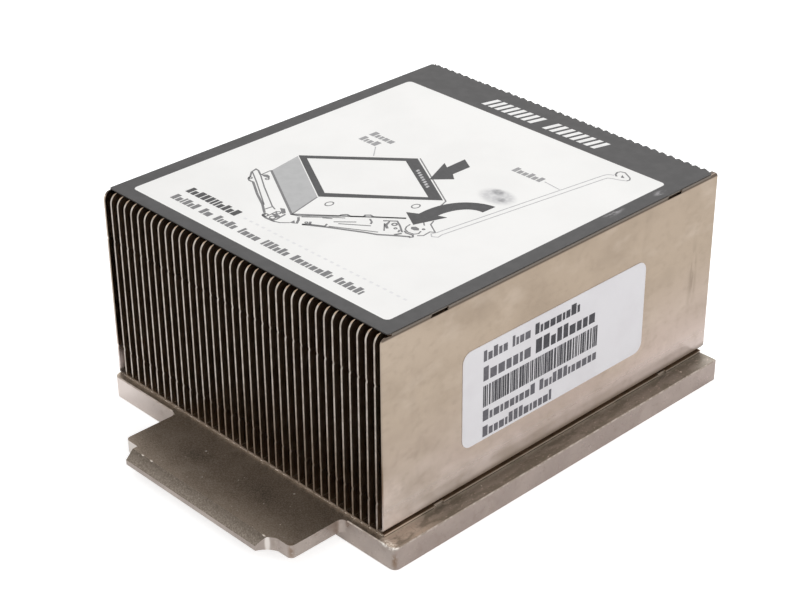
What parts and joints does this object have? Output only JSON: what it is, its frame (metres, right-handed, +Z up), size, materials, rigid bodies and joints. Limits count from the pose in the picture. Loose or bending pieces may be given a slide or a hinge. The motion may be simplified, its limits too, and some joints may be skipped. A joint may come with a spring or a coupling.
{
  "type": "passive server cpu heatsink",
  "caption": "Passive processor heatsink for a rack server: interlocked folded sheet fins soldered to a plated base plate with a stepped retention tongue, with a handling label on top.",
  "frame": {"origin": "centre of the contact face, the underside of the base plate without its retention tongue", "axes": "+X across the fins towards the wide side ledge and the end fin, +Y along the air channels away from the retention tongue, +Z up from the processor"},
  "size_m": [0.084, 0.1099, 0.0471],
  "materials": {
    "base_nickel": "satin nickel plating with handling wear",
    "solder": "dull solder",
    "fin_metal": "satin plated sheet",
    "end_fin_metal": "satin plated sheet, faint horizontal brushing",
    "label_white": "matt film",
    "print_black": "matt print, scuffed at its edge",
    "print_dark": "matt print",
    "print_grey": "matt print",
    "side_label_white": "semi-matt film",
    "side_print_black": "matt print"
  },
  "bodies": {
    "root": {"base_plate": "base_nickel", "solder_layer": "solder", "fin_01": "fin_metal", "fin_02": "fin_metal", "fin_03": "fin_metal", "fin_04": "fin_metal", "fin_05": "fin_metal", "fin_06": "fin_metal", "fin_07": "fin_metal", "fin_08": "fin_metal", "fin_09": "fin_metal", "fin_10": "fin_metal", "fin_11": "fin_metal", "fin_12": "fin_metal", "fin_13": "fin_metal", "fin_14": "fin_metal", "fin_15": "fin_metal", "fin_16": "fin_metal", "fin_17": "fin_metal", "fin_18": "fin_metal", "fin_19": "fin_metal", "fin_20": "fin_metal", "fin_21": "fin_metal", "fin_22": "fin_metal", "fin_23": "fin_metal", "fin_24": "fin_metal", "fin_25": "fin_metal", "fin_26": "fin_metal", "fin_27": "fin_metal", "fin_28": "fin_metal", "fin_29": "fin_metal", "fin_30": "fin_metal", "fin_31": "fin_metal", "fin_32": "fin_metal", "fin_33": "fin_metal", "fin_34": "fin_metal", "fin_35": "fin_metal", "fin_36": "fin_metal", "fin_37": "fin_metal", "end_fin": "end_fin_metal", "top_label": "label_white", "top_label_border": "print_black", "top_label_drawing": "print_dark", "top_label_lines": "print_grey", "side_label": "side_label_white", "side_label_print": "side_print_black"}
  },
  "joints": []
}
